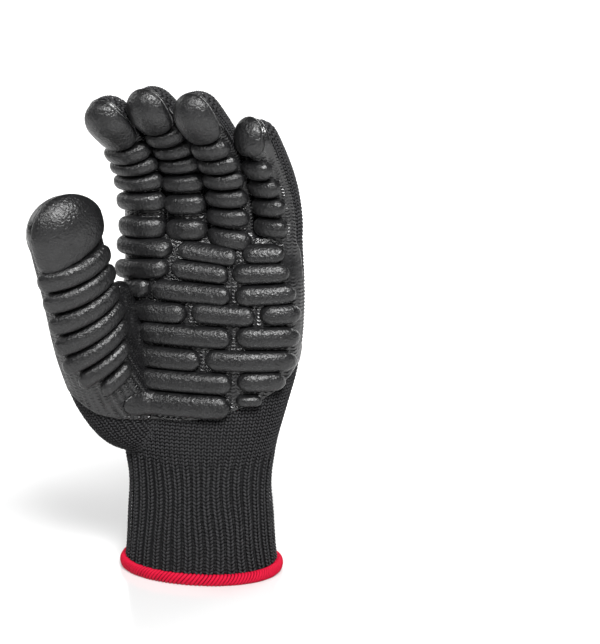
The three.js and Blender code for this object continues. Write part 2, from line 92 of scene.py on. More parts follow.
# Studio: a white floor that the cuff stands on, swept up into a wall. It glows round and behind the
# glove and hardly in front of it. A soft key light and a small one stand in front, and two weak
# ones light the left edge and the back.
def set_input(node, name, value):
    """One socket of a node is given a fixed value."""
    node.inputs[name].default_value = value


def paint(name, colour, roughness):
    """A new material: its nodes, its links and its Principled shader, with a base colour."""
    material = bpy.data.materials.new(name)
    material.use_nodes = True
    nodes = material.node_tree.nodes
    shader = nodes["Principled BSDF"]
    set_input(shader, "Base Color", (*colour, 1))
    set_input(shader, "Roughness", roughness)
    return material, nodes, material.node_tree.links, shader


def join(nodes, links, work, first, second=None, scale=1.0):
    """A Math node on two nodes' outputs, or on one output and a fixed number."""
    node = nodes.new("ShaderNodeMath")
    node.operation = work
    links.new(first, node.inputs[0])
    if second is None:
        node.inputs[1].default_value = scale
    else:
        links.new(second, node.inputs[1])
    return node.outputs[0]


def remap(nodes, links, value, start, stop, low, high, kind="LINEAR"):
    """A value taken from the range start to stop into the range low to high, and held there."""
    node = nodes.new("ShaderNodeMapRange")
    node.interpolation_type = kind
    for name, limit in (("From Min", start), ("From Max", stop), ("To Min", low), ("To Max", high)):
        set_input(node, name, limit)
    links.new(value, node.inputs["Value"])
    return node.outputs["Result"]


def soft_light(name, place, size, power):
    """A square area light at a place in millimetres, turned towards the middle of the glove."""
    lamp = bpy.data.lights.new(name, "AREA")
    lamp.size = size
    lamp.energy = power
    light = add_object(name, lamp)
    from_heart = np.array(place, float) - HEART
    z = from_heart / np.linalg.norm(from_heart)
    x = np.cross([0.0, 0.0, 1.0], z)
    x /= np.linalg.norm(x)
    y = np.cross(z, x)
    rows = [[x[i], y[i], z[i], place[i] * MM] for i in range(3)]
    light.matrix_world = Matrix(rows + [[0, 0, 0, 1]])


FLOOR_HALF, FLOOR_FRONT, WALL_FROM, BEND, WALL_TOP = 2.2, -2.5, 1.0, 0.5, 0.9
FLOOR_DROP = 0.0004
GLOW_NEAR, GLOW_FAR = (0.08, 0.12), (0.4, 0.9)
FRONT_DARK, FRONT_LIT = (-0.34, 0.04), (-0.2, 1.0)

sweep = np.linspace(0, np.pi / 2, 13)
profile = np.vstack([
    [[FLOOR_FRONT, -FLOOR_DROP], [0.0, -FLOOR_DROP]],
    np.stack([WALL_FROM + BEND * np.sin(sweep), BEND * (1 - np.cos(sweep)) - FLOOR_DROP], -1),
    [[WALL_FROM + BEND, WALL_TOP]]])
strip = [(x, y, z) for x in (FLOOR_HALF, -FLOOR_HALF) for y, z in profile]
count = len(profile)
floor_mesh = bpy.data.meshes.new("studio_floor")
floor_mesh.from_pydata(strip, [], [(i, i + 1, i + 1 + count, i + count) for i in range(count - 1)])
floor_mesh.shade_smooth()
studio_floor = add_object("studio_floor", floor_mesh)
studio_white, nodes, links, shader = paint("studio_white", (0.62, 0.62, 0.62), 0.16)
set_input(shader, "Emission Color", (1, 1, 1, 1))
place = nodes.new("ShaderNodeTexCoord")
away = nodes.new("ShaderNodeVectorMath")
away.operation = "LENGTH"
links.new(place.outputs["Object"], away.inputs[0])
spot = nodes.new("ShaderNodeSeparateXYZ")
links.new(place.outputs["Object"], spot.inputs[0])
glow = remap(nodes, links, away.outputs["Value"],
             GLOW_NEAR[0], GLOW_FAR[0], GLOW_NEAR[1], GLOW_FAR[1], "SMOOTHSTEP")
behind = remap(nodes, links, spot.outputs["Y"], FRONT_DARK[0], FRONT_LIT[0], FRONT_DARK[1], FRONT_LIT[1])
links.new(join(nodes, links, "MULTIPLY", glow, behind), shader.inputs["Emission Strength"])
floor_mesh.materials.append(studio_white)
soft_light("key", (370, -690, 880), 0.36, 20)
soft_light("spark", (-280, -880, 760), 0.15, 4)
soft_light("edge", (-800, 120, 560), 0.5, 2.5)
soft_light("back", (300, 950, 700), 0.6, 6)
world = bpy.data.worlds.new("studio")
bpy.context.scene.world = world
world.use_nodes = True
background = world.node_tree.nodes["Background"]
set_input(background, "Color", (1, 1, 1, 1))
set_input(background, "Strength", 0.04)
bpy.context.scene.view_settings.view_transform = "Standard"


# Knitted shell: the cloth of cuff, hand, fingers and thumb, knitted in one with no seam. Its
# ground is one smooth wall, open at the cuff, and the stitches lie on it.
HAND_LENGTH = 180
PALM_WIDTH = 96
CUFF_DEPTH = 60
HAND_TABLE = np.array([
    # share of the length, width, side shift, depth, roundness of the section
    [0.000, 0.890, 0.000, 1.000, 2.1],
    [0.033, 0.838, 0.000, 0.960, 2.1],
    [0.170, 0.800, 0.000, 0.917, 2.1],
    [0.280, 0.776, 0.000, 0.867, 2.2],
    [0.390, 0.845, 0.000, 0.833, 2.2],
    [0.500, 0.938, 0.010, 0.783, 2.3],
    [0.610, 0.990, 0.042, 0.717, 2.4],
    [0.720, 1.000, 0.073, 0.640, 2.5],
    [0.830, 0.990, 0.089, 0.560, 2.6],
    [0.917, 0.972, 0.094, 0.480, 2.8],
    [0.980, 0.950, 0.094, 0.385, 3.0],
    [1.010, 0.900, 0.094, 0.310, 3.0],
])
HAND_TOP = 1.01 * HAND_LENGTH
FINGER_TABLE = np.array([
    # share of the length, width, depth, side shift
    [0.00, 1.12, 1.00, 0.00],
    [0.50, 1.17, 0.98, 0.00],
    [0.70, 1.10, 0.96, 0.00],
    [0.86, 1.00, 0.93, 0.00],
    [1.00, 0.96, 0.90, 0.00],
])
THUMB_TABLE = np.array([
    # the same columns
    [0.00, 0.66, 0.90, 0.04],
    [0.15, 1.18, 1.25, -0.08],
    [0.30, 1.25, 1.25, -0.11],
    [0.50, 1.12, 1.12, -0.08],
    [0.75, 1.00, 1.00, 0.00],
    [1.00, 0.98, 0.88, 0.00],
])
WEB_TOP = 157
WEB_TABLE = np.array([
    # height, centre x and y, width, depth of the web between thumb and palm
    [92, -29, -10, 30, 28],
    [108, -33.5, -12, 33, 29],
    [124, -36, -14, 29, 28],
    [138, -37.5, -16.5, 22, 25],
    [149, -37, -18.5, 14, 20],
    [156, -36.5, -20, 6, 11],
], float)


def read_table(table, k):
    """The columns of a table at the places k of its first column: a cubic through the rows,
    whose slope at a row is that of the line between the rows beside it."""
    k = np.asarray(k, float)
    rows = len(table)
    before = np.maximum(np.arange(rows) - 1, 0)
    after = np.minimum(np.arange(rows) + 1, rows - 1)
    slope = (table[after, 1:] - table[before, 1:]) / (table[after, :1] - table[before, :1])
    i = np.clip(np.searchsorted(table[:, 0], k, side="right") - 1, 0, rows - 2)
    h = (table[i + 1, 0] - table[i, 0])[..., None]
    s = np.clip((k - table[i, 0])[..., None] / h, 0, 1)
    p, q = table[i, 1:], table[i + 1, 1:]
    value = p * (1 + 2 * s) * (1 - s) ** 2 + q * s * s * (3 - 2 * s)
    value = value + slope[i] * h * s * (1 - s) ** 2 - slope[i + 1] * h * s * s * (1 - s)
    return np.moveaxis(value, -1, 0)


def hand_point(z, angle, off):
    """Cuff and hand: at a height, the section is |x/a|^n + |y/b|^n = 1, with the angle 0 on
    the palm and a quarter turn at the little finger's side; off grows both half sizes."""
    w, shift, d, n = read_table(HAND_TABLE, z / HAND_LENGTH)
    s, c = np.sin(angle), np.cos(angle)
    x = shift * PALM_WIDTH + (w * PALM_WIDTH / 2 + off) * np.sign(s) * np.abs(s) ** (2 / n)
    y = -(d * CUFF_DEPTH / 2 + off) * np.sign(c) * np.abs(c) ** (2 / n)
    return np.stack(np.broadcast_arrays(x, y, z), -1)


def hand_point_at_x(z, x, off, back=False):
    """The same surface read by x instead of by angle, on the palm or on the back."""
    w, shift, _, n = read_table(HAND_TABLE, z / HAND_LENGTH)
    u = np.clip((x - shift * PALM_WIDTH) / (w * PALM_WIDTH / 2), -0.998, 0.998)
    angle = np.arcsin(np.sign(u) * np.abs(u) ** (n / 2))
    return hand_point(z, np.pi - angle if back else angle, off)


def smooth_step(x):
    """0 below 0, 1 above 1, and an S between."""
    x = np.clip(x, 0, 1)
    return x * x * (3 - 2 * x)


def ease(x, ends):
    """0 before the first of two ends, 1 past the second, and an S between."""
    return smooth_step((x - ends[0]) / (ends[1] - ends[0]))


def make_digit(root, length, width, depth, table, splay=0, lift=0, curl=0, roll=0, bend_from=0, flex=0,
               cap=None):
    """A finger or thumb: a centre line that leans by splay and lift and then curls over by flex,
    towards the palm turned by curl, with the section turned by roll; a frame at each step. The
    rounded end is as long as CAP_SHARE of the width, or as cap says."""
    cap = cap or CAP_SHARE * width
    splay, lift, curl, roll = np.radians([splay, lift, curl, roll])
    side0 = np.array([math.cos(splay), 0, -math.sin(splay)])
    up0 = np.array([math.sin(splay), 0, math.cos(splay)])
    front = np.array([0, -1.0, 0])
    along0 = math.cos(lift) * up0 + math.sin(lift) * front
    palm0 = math.cos(lift) * front - math.sin(lift) * up0
    bend = math.cos(curl) * palm0 - math.sin(curl) * side0
    across = np.cross(along0, bend)
    turn = roll - curl
    steps = 120
    k = np.linspace(0, 1, steps + 1)
    f = np.radians(flex) * smooth_step((k - bend_from) / (1 - bend_from))[:, None]
    along = along0 * np.cos(f) + bend * np.sin(f)
    inner = bend * np.cos(f) - along0 * np.sin(f)
    tube = length - cap
    at = np.array(root, float) + np.vstack([np.zeros(3), np.cumsum(along[1:], 0)]) * tube / steps
    return {
        "at": at, "along": along, "tube": tube, "cap": cap,
        "width": width, "depth": depth, "table": table,
        "palm": inner * math.cos(turn) - across * math.sin(turn),
        "side": across * math.cos(turn) + inner * math.sin(turn),
    }


def digit_frame(d, t):
    """The centre line's place and directions at a distance along it."""
    x = np.clip(np.asarray(t, float) / d["tube"], 0, 1) * (len(d["at"]) - 1)
    i = np.minimum(np.floor(x).astype(int), len(d["at"]) - 2)
    s = (x - i)[..., None]
    return [d[key][i] * (1 - s) + d[key][i + 1] * s for key in ("at", "along", "palm", "side")]


def digit_point(d, t, angle, off):
    """A digit's skin: an ellipse round the centre line, angle 0 on the palm side. Past the tube's
    end the distance runs on as a latitude over an ellipsoid whose height is the cap."""
    t, angle, off = np.broadcast_arrays(np.asarray(t, float), angle, off)
    at, along, palm, side = digit_frame(d, t)
    w, depth, shift = read_table(d["table"], np.clip(t / d["tube"], 0, 1))
    latitude = np.clip((t - d["tube"]) / d["cap"], 0, 1) * np.pi / 2
    c = np.cos(latitude)
    x = shift * d["width"] + (w * d["width"] / 2 + off) * c * np.sin(angle)
    y = (depth * d["depth"] / 2 + off) * c * np.cos(angle)
    z = (d["cap"] + off) * np.sin(latitude)
    return at + side * x[..., None] + palm * y[..., None] + along * z[..., None]


CAP_SHARE = 0.55
digits = {
    "index": make_digit((-23.8, 0, 132), 134, 20.6, 20, FINGER_TABLE,
                        splay=-1.5, curl=17, roll=6, bend_from=0.44, flex=53),
    "middle": make_digit((0.4, 0, 138), 133, 20.6, 20, FINGER_TABLE,
                         splay=-3.2, curl=15, roll=8, bend_from=0.46, flex=53),
    "ring": make_digit((19.8, 0, 136), 133, 20.6, 20, FINGER_TABLE,
                       splay=1.2, curl=19, roll=11, bend_from=0.3, flex=47),
    "little": make_digit((43.8, 0, 128), 119, 18.5, 18.5, FINGER_TABLE,
                         splay=1.2, curl=26, roll=20, bend_from=0.42, flex=34),
    "thumb": make_digit((-17.6, 0.5, 68.5), 158.5, 36, 26, THUMB_TABLE,
                        splay=-30, lift=25, curl=-89, roll=-32, flex=26, cap=16.2),
}


def grid_faces(rows, columns, round_rows=False, round_columns=False, start=0):
    """Quads over a grid of points stored row by row, closed on itself where it goes round."""
    i = np.arange(rows if round_rows else rows - 1)[:, None]
    j = np.arange(columns if round_columns else columns - 1)[None, :]
    i2, j2 = (i + 1) % rows, (j + 1) % columns
    quads = np.stack([i * columns + j, i * columns + j2, i2 * columns + j2, i2 * columns + j], -1)
    return quads.reshape(-1, 4) + start


def make_mesh(name, points, quads, triangles=None):
    """A mesh from points in millimetres, quads and triangles, filled in as whole arrays."""
    points = np.asarray(points, float).reshape(-1, 3)
    triangles = np.zeros((0, 3), int) if triangles is None else np.asarray(triangles, int)
    quads = np.asarray(quads, int).reshape(-1, 4)
    mesh = bpy.data.meshes.new(name)
    mesh.vertices.add(len(points))
    mesh.vertices.foreach_set("co", (points * MM).astype(np.float32).ravel())
    corners = np.concatenate([quads.ravel(), triangles.ravel()]).astype(np.int32)
    sizes = np.concatenate([np.full(len(quads), 4), np.full(len(triangles), 3)]).astype(np.int32)
    mesh.loops.add(len(corners))
    mesh.loops.foreach_set("vertex_index", corners)
    mesh.polygons.add(len(sizes))
    mesh.polygons.foreach_set("loop_start", (np.cumsum(sizes) - sizes).astype(np.int32))
    mesh.polygons.foreach_set("loop_total", sizes)
    mesh.update(calc_edges=True)
    mesh.shade_smooth()
    return mesh


def closed_tube(rings, first, last):
    """Points, quads and end triangles of a tube over a stack of rings, closed by two poles."""
    rows, columns = rings.shape[:2]
    points = np.vstack([rings.reshape(-1, 3), [first, last]])
    quads = grid_faces(rows, columns, round_columns=True)
    j = np.arange(columns)
    j2 = (j + 1) % columns
    end = (rows - 1) * columns
    low = np.stack([np.full(columns, rows * columns), j2, j], -1)
    high = np.stack([np.full(columns, rows * columns + 1), end + j, end + j2], -1)
    return points, quads, np.vstack([low, high])


def circle(count):
    """Angles shared out evenly round a full turn, the last one a step before the first."""
    return np.linspace(0, 2 * np.pi, count, endpoint=False)


def hand_tubes(off):
    """The closed tubes of hand, digits and web, each grown by off, as one list of parts."""
    start = -8
    parts = []
    around = circle(160)[None, :]
    z = np.concatenate([[start], np.linspace(0, HAND_TOP, 140)])[:, None]
    rings = hand_point(np.maximum(z, 0), around, off)
    rings[0, :, 2] = start
    parts.append(closed_tube(rings, rings[0].mean(0), rings[-1].mean(0)))
    for d in digits.values():
        angle = circle(64)[None, :]
        over = d["tube"] + d["cap"] * np.linspace(0.06, 0.97, 16)
        t = np.concatenate([np.linspace(0, 1, 60) * d["tube"], over])
        rings = digit_point(d, t[:, None], angle, off)
        tip = digit_point(d, np.array([d["tube"] + d["cap"]]), np.zeros(1), off)[0]
        parts.append(closed_tube(rings, rings[0].mean(0), tip))
    angle = circle(48)[None, :]
    z = np.linspace(WEB_TABLE[0, 0], WEB_TABLE[-1, 0], 40)
    x, y, w, depth = read_table(WEB_TABLE, z)[..., None]
    rings = np.stack(np.broadcast_arrays(
        x + (w / 2 + off) * np.sin(angle), y - (depth / 2 + off) * np.cos(angle), z[:, None]), -1)
    top = np.array([WEB_TABLE[-1, 1], WEB_TABLE[-1, 2], WEB_TOP + off])
    parts.append(closed_tube(rings, rings[0].mean(0), top))
    return parts


def fused_skin(name, off, cell):
    """One skin over all the tubes: they are joined in one mesh, which a remesh melts together."""
    points, quads, triangles, count = [], [], [], 0
    for p, q, t in hand_tubes(off):
        points.append(p)
        quads.append(q + count)
        triangles.append(t + count)
        count += len(p)
    mesh = make_mesh(name, np.vstack(points), np.vstack(quads), np.vstack(triangles))
    blank = add_object(name, mesh)
    melt = blank.modifiers.new("melt", "REMESH")
    melt.mode = "VOXEL"
    melt.voxel_size = cell * MM
    view = bpy.context.evaluated_depsgraph_get()
    done = bpy.data.meshes.new_from_object(blank.evaluated_get(view))
    bpy.data.objects.remove(blank)
    co = np.empty(len(done.vertices) * 3, np.float32)
    done.vertices.foreach_get("co", co)
    corner = np.empty(len(done.loops), np.int32)
    done.loops.foreach_get("vertex_index", corner)
    edge = np.empty(len(done.edges) * 2, np.int32)
    done.edges.foreach_get("vertices", edge)
    bpy.data.meshes.remove(done)
    return co.reshape(-1, 3).astype(float) / MM, corner.reshape(-1, 4), edge.reshape(-1, 2)


def relax(points, edges, rounds, share):
    """Each point moves by its share of the way to the mean of its neighbours, some rounds over."""
    degree = np.bincount(edges.ravel(), minlength=len(points))[:, None]
    for _ in range(rounds):
        total = np.stack([
            np.bincount(edges[:, 0], points[edges[:, 1], c], len(points))
            + np.bincount(edges[:, 1], points[edges[:, 0], c], len(points)) for c in range(3)], -1)
        points = points + share * (total / np.maximum(degree, 1) - points)
    return points


def hand_measure(p):
    """How far points lie outside the hand form, along the ray from its axis, and their angle."""
    w, shift, d, n = read_table(HAND_TABLE, p[:, 2] / HAND_LENGTH)
    x = p[:, 0] - shift * PALM_WIDTH
    y = -p[:, 1]
    u, v = x / (w * PALM_WIDTH / 2), y / (d * CUFF_DEPTH / 2)
    f = (np.abs(u) ** n + np.abs(v) ** n) ** (1 / n)
    gap = (1 - 1 / np.maximum(f, 0.05)) * np.hypot(x, y)
    angle = np.arctan2(np.sign(u) * np.abs(u) ** (n / 2), np.sign(v) * np.abs(v) ** (n / 2))
    return np.maximum(gap, p[:, 2] - HAND_TOP), angle


def digit_measure(d, p):
    """How far points lie outside a digit, their distance along it, their angle, how far they
    stand out towards its palm side and past the tube's end, and their share of the half width."""
    nearest = np.empty(len(p), int)
    for lot in np.array_split(np.arange(len(p)), max(1, len(p) // 20000)):
        away = ((p[lot, None, :] - d["at"][None, ::2, :]) ** 2).sum(-1)
        nearest[lot] = 2 * away.argmin(1)
    local = p - d["at"][nearest]
    x = (local * d["side"][nearest]).sum(-1)
    y = (local * d["palm"][nearest]).sum(-1)
    s = (local * d["along"][nearest]).sum(-1)
    k = nearest / (len(d["at"]) - 1)
    w, depth, shift = read_table(d["table"], k)
    x = x - shift * d["width"]
    a, b = w * d["width"] / 2, depth * d["depth"] / 2
    past = np.where(k >= 1, np.maximum(s, 0), 0)
    f = np.sqrt((x / a) ** 2 + (y / b) ** 2 + (past / d["cap"]) ** 2)
    gap = (1 - 1 / np.maximum(f, 0.05)) * np.sqrt(x * x + y * y + past * past)
    gap = np.where(k <= 0, np.maximum(gap, -s), gap)
    return gap, k * d["tube"] + s, np.arctan2(x / a, y / b), y, past, x / a


def web_measure(p):
    """How far points lie outside the web, and how far they stand out to its front."""
    x, y, w, depth = read_table(WEB_TABLE, p[:, 2])
    dx, dy = p[:, 0] - x, p[:, 1] - y
    f = np.hypot(dx / (w / 2), dy / (depth / 2))
    gap = (1 - 1 / np.maximum(f, 0.05)) * np.hypot(dx, dy)
    gap = np.maximum(gap, np.maximum(p[:, 2] - WEB_TOP, WEB_TABLE[0, 0] - p[:, 2]))
    return gap, -dy


def crease_weight(p):
    """1 in the creases where two forms meet, falling to 0 some millimetres away from them."""
    gaps = [hand_measure(p)[0], web_measure(p)[0]] + [digit_measure(d, p)[0] for d in digits.values()]
    gaps = np.sort(np.stack(gaps), axis=0)
    return 1 - smooth_step((gaps[1] - 0.5) / 5)


def used_only(points, quads):
    """The points that the quads use, and the quads renumbered to them."""
    used, back = np.unique(quads, return_inverse=True)
    return points[used], back.reshape(quads.shape)


ROOT_HEIGHT = 196
GROUND_SINK = -0.7
GROUND_CELL = 1.5
GROUND_WALL = 0.9
GROUND_LOWEST = 1.0
RIB_SINK = 0.9
RIB_FADE = (58, 72)
points, quads, edges = fused_skin("ground", GROUND_SINK, GROUND_CELL)
weight = crease_weight(points) * (points[:, 2] < ROOT_HEIGHT)
points = relax(points, edges, 3, 0.5)
points = relax(points, edges, 14, 0.5 * weight[:, None])
sink = RIB_SINK * (1 - ease(points[:, 2:], RIB_FADE))
points[:, :2] *= 1 - sink / np.hypot(points[:, :1], points[:, 1:2])
keep = points[quads][:, :, 2].min(1) > GROUND_LOWEST
ground_points, ground_quads = used_only(points, quads[keep])
ground_mesh = make_mesh("knit_ground", ground_points, ground_quads)


def speckle(nodes, links, scale, detail=3.0, roughness=0.6):
    """Noise on the piece's own coordinates, scale cells to the metre."""
    place = nodes.new("ShaderNodeTexCoord")
    noise = nodes.new("ShaderNodeTexNoise")
    set_input(noise, "Scale", scale)
    set_input(noise, "Detail", detail)
    set_input(noise, "Roughness", roughness)
    links.new(place.outputs["Object"], noise.inputs["Vector"])
    return noise.outputs["Fac"]


def mottle(nodes, links, scale, low, high, detail=3.0):
    """Noise of a scale, its middle range stretched to go from low to high."""
    return remap(nodes, links, speckle(nodes, links, scale, detail), 0.3, 0.7, low, high)


def tint(nodes, links, shader, value, dark, light, low=0.3, high=0.7):
    """The base colour goes from dark to light as a value goes from low to high."""
    ramp = nodes.new("ShaderNodeValToRGB")
    for element, place, colour in zip(ramp.color_ramp.elements, (low, high), (dark, light)):
        element.position = place
        element.color = (*colour, 1)
    links.new(value, ramp.inputs["Fac"])
    links.new(ramp.outputs["Color"], shader.inputs["Base Color"])


def emboss(nodes, links, shader, height, depth, strength=1.0):
    """A height from 0 to 1 shown as relief of a depth in millimetres."""
    bump = nodes.new("ShaderNodeBump")
    set_input(bump, "Strength", strength)
    set_input(bump, "Distance", depth * MM)
    links.new(height, bump.inputs["Height"])
    links.new(bump.outputs["Normal"], shader.inputs["Normal"])


# The ground is painted dark, darker than the yarn's tops, as painted shade in the gaps between the
# stitches; noise gives it some random tone.
ground_shade_paint, nodes, links, shader = paint("shell_inside", (0.012, 0.012, 0.013), 0.95)
set_input(shader, "Specular IOR Level", 0.2)
tint(nodes, links, shader, speckle(nodes, links, 900), (0.009, 0.009, 0.0098), (0.015, 0.015, 0.0162))
emboss(nodes, links, shader, speckle(nodes, links, 1400, 2), 0.1)
ground_mesh.materials.append(ground_shade_paint)
ground = add_object("knit_ground", ground_mesh)
wall = ground.modifiers.new("wall", "SOLIDIFY")
wall.thickness = GROUND_WALL * MM
wall.offset = -1
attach(ground, "root")
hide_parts("knit_cuff", "knit_hand", "knit_thumb", "knit_index", "knit_middle", "knit_ring",
            "knit_little")


# Coating: the palm side is dipped in rubber, up to a curved lower edge and to the sides of the
# fingers; it wraps the tips and the web, shows the knit through, and ends in a thicker rim.
COAT_EDGE = np.array([
    [62, 300], [62, 126], [54, 118], [50, 110], [44, 103.2], [36, 97.6], [23, 93], [11, 89.2],
    [-4, 86.8], [-21, 87], [-33, 89], [-44, 92.5], [-50, 97], [-58, 104.5], [-67, 114], [-78, 129],
    [-110, 170],
], float)
SADDLE_LOW = 139
COAT_RISE = 1.1
COAT_SINK = 1.6
COAT_CELL = 0.9
COAT_MARGIN = 2.2
COAT_LOWEST = 40
RIM_RISE = 0.35
RIM_INSIDE = 1.0
RIM_WIDTH = 0.7
MIX = 1.2
COURSE = 1.87
HAND_WALE = 3.2
DIGIT_WALE = 3.0
OUTER_SHORT = 3.4
TIP_WRAP = {"index": 3.0, "middle": 3.0, "ring": 3.0, "little": 3.0, "thumb": 12.0}


def edge_distance(x, z):
    """Distance in the plane of the palm from the coating's lower edge, more than 0 above it."""
    away = np.full(x.shape, 1e9)
    for (x0, z0), (x1, z1) in zip(COAT_EDGE[:-1], COAT_EDGE[1:]):
        along = (x - x0) * (x1 - x0) + (z - z0) * (z1 - z0)
        k = np.clip(along / ((x1 - x0) ** 2 + (z1 - z0) ** 2), 0, 1)
        away = np.minimum(away, np.hypot(x - x0 - k * (x1 - x0), z - z0 - k * (z1 - z0)))
    curve = COAT_EDGE[::-1]
    return np.where(z > np.interp(x, curve[:, 0], curve[:, 1]), away, -away)


def coat_measure(p):
    """How many millimetres inside the coated region points lie, less than 0 outside it: each
    form has its own measure, and where forms meet they are mixed by nearness."""
    low = edge_distance(p[:, 0], p[:, 2])
    gaps, inside = [hand_measure(p)[0]], [np.minimum(low, -p[:, 1])]
    gap, front = web_measure(p)
    gaps.append(gap)
    inside.append(np.minimum(low, np.maximum(front, p[:, 2] - SADDLE_LOW)))
    for name, d in digits.items():
        gap, t, _, out, past, side = digit_measure(d, p)
        gaps.append(gap)
        reach = out + TIP_WRAP[name] * smooth_step(past / d["cap"]) - OUTER_SHORT * smooth_step(side)
        if name == "thumb":
            reach = out + TIP_WRAP[name] * smooth_step((t - d["tube"] + 6) / 14)
        inside.append(np.minimum(low, reach))
    gaps, inside = np.stack(gaps), np.stack(inside)
    near = np.exp(-np.maximum(gaps - gaps.min(0), 0) / MIX)
    return (near * inside).sum(0) / near.sum(0)


def add_layer(mesh, name, values, kind="FLOAT", field="value"):
    """A number or a vector kept at each of a mesh's points, for its material to read."""
    layer = mesh.attributes.new(name, kind, "POINT")
    layer.data.foreach_set(field, values.astype(np.float32).ravel())


def layer_node(nodes, name):
    """The node that reads such a layer."""
    node = nodes.new("ShaderNodeAttribute")
    node.attribute_name = name
    return node


points, quads, edges = fused_skin("coat", 0, COAT_CELL)
weight = crease_weight(points) * (points[:, 2] < ROOT_HEIGHT)
points = relax(points, edges, 4, 0.5)
points = relax(points, edges, 36, 0.5 * weight[:, None])
inside = coat_measure(points)
skin = make_mesh("coating_skin", points, quads)
normal = np.empty(len(points) * 3, np.float32)
skin.vertices.foreach_get("normal", normal)
bpy.data.meshes.remove(skin)
height = -COAT_SINK + (COAT_RISE + COAT_SINK) * smooth_step((inside + COAT_SINK) / 2.0)
height += RIM_RISE * np.exp(-((inside - RIM_INSIDE) / RIM_WIDTH) ** 2)
points = points + normal.reshape(-1, 3) * height[:, None]
keep = (inside[quads].max(1) > -COAT_MARGIN) & (points[quads][:, :, 2].min(1) > COAT_LOWEST)
coat_points, coat_quads = used_only(points, quads[keep])
coat_mesh = make_mesh("dipped_coating", coat_points, coat_quads)
gaps, cloth = [], []
flat = np.stack([coat_points[:, 0] / HAND_WALE, coat_points[:, 2] / COURSE], -1)
for gap in (hand_measure(coat_points)[0], web_measure(coat_points)[0]):
    gaps.append(gap)
    cloth.append(flat)
smooth_end = np.zeros(len(coat_points))
for d in digits.values():
    gap, t, angle = digit_measure(d, coat_points)[:3]
    gaps.append(gap)
    cloth.append(np.stack([angle * d["width"] / 2 / DIGIT_WALE, t / COURSE], -1))
    smooth_end = np.maximum(smooth_end, smooth_step((t - d["tube"] + 10) / 8) * (gap < 1.5))
gaps, cloth = np.stack(gaps), np.stack(cloth)
nearest = gaps.argmin(0)
ranked = np.sort(gaps, axis=0)
calm = smooth_step((ranked[1] - ranked[0]) / 3) * (1 - 0.9 * smooth_end)
cloth = np.hstack([cloth[nearest, np.arange(len(nearest))], calm[:, None]])
add_layer(coat_mesh, "cloth", cloth, "FLOAT_VECTOR", "vector")

coat_paint, nodes, links, shader = paint("dipped_rubber", (0.006, 0.006, 0.0065), 0.25)
set_input(shader, "Specular IOR Level", 0.62)
parts = nodes.new("ShaderNodeSeparateXYZ")
links.new(layer_node(nodes, "cloth").outputs["Vector"], parts.inputs[0])
wale = join(nodes, links, "MULTIPLY", parts.outputs["X"], scale=math.pi)
legs = join(nodes, links, "ABSOLUTE", join(nodes, links, "SINE", wale))
rise = join(nodes, links, "MULTIPLY", legs, scale=0.45)
course = join(nodes, links, "ADD", parts.outputs["Y"], rise)
wave = join(nodes, links, "SINE", join(nodes, links, "MULTIPLY", course, scale=2 * math.pi))
wave = join(nodes, links, "MULTIPLY", join(nodes, links, "ADD", wave, scale=1.0), scale=0.5)
imprint = join(nodes, links, "MULTIPLY", join(nodes, links, "MULTIPLY", wave, legs), parts.outputs["Z"])
worn = mottle(nodes, links, 130, 0.45, 1.1, 1)
imprint = join(nodes, links, "MULTIPLY", imprint, worn)
fleck = speckle(nodes, links, 420)
height = join(nodes, links, "ADD", imprint, join(nodes, links, "MULTIPLY", fleck, scale=0.8))
emboss(nodes, links, shader, height, 0.38)
links.new(mottle(nodes, links, 120, 0.2, 0.34), shader.inputs["Roughness"])
coat_mesh.materials.append(coat_paint)
coating = add_object("dipped_coating", coat_mesh)
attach(coating, "root")
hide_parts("coating")


# Stitches: each stitch of the dark yarn shows as a V of two legs, in upright wales. The cuff is
# a one by one rib, with every second wale raised and the one between drawn in.
WALES = 76
RIB_TOP = 62
FINGER_WALES = 22
THUMB_WALES = 34
WEB_WALES = 28
YARN = 0.52
YARN_UNEVEN = 0.06
LEG_PLACE, LEG_REACH = 0.05, 0.4
LEG_LENGTH = 0.98
LEG_JITTER = 0.02
ARCH = 0.95
RAISED_WALE = {"wide": 0.45, "lift": 0.25, "thick": 0.22}
SUNK_WALE = {"wide": -0.45, "lift": -1.3, "thick": -0.1}
COAT_COVER = 0.9
SEAM_DEPTH = 2.2
ROOT_DEPTH = 5.0
SEAM_RISE = (166, 176)

arc_heights = np.linspace(0, HAND_TOP, 120)
arc_shares = np.linspace(0, 1, 361)
fine = np.linspace(0, 2 * np.pi, 1441)
outline = hand_point(arc_heights[:, None], fine[None, :], 0)
run = np.cumsum(np.linalg.norm(np.diff(outline, axis=1), axis=2), axis=1)
run = np.hstack([np.zeros((len(run), 1)), run]) / run[:, -1:]
arc_angle = np.stack([np.interp(arc_shares, r, fine) for r in run])


def hand_spot(wale, course, off):
    """The hand's skin read in wales and courses: the wales share its girth out evenly."""
    z = course * COURSE
    i = np.clip(z / arc_heights[-1], 0, 1) * (len(arc_heights) - 1)
    j = (wale / WALES % 1) * (len(arc_shares) - 1)
    i0 = np.minimum(i.astype(int), len(arc_heights) - 2)
    j0 = np.minimum(j.astype(int), len(arc_shares) - 2)
    a, b = i - i0, j - j0
    low = arc_angle[i0, j0] * (1 - b) + arc_angle[i0, j0 + 1] * b
    high = arc_angle[i0 + 1, j0] * (1 - b) + arc_angle[i0 + 1, j0 + 1] * b
    return hand_point(z, low * (1 - a) + high * a, off)


def digit_spot(d, wales):
    """A digit's skin read in wales and courses."""
    return lambda wale, course, off: digit_point(d, course * COURSE, 2 * np.pi * wale / wales, off)


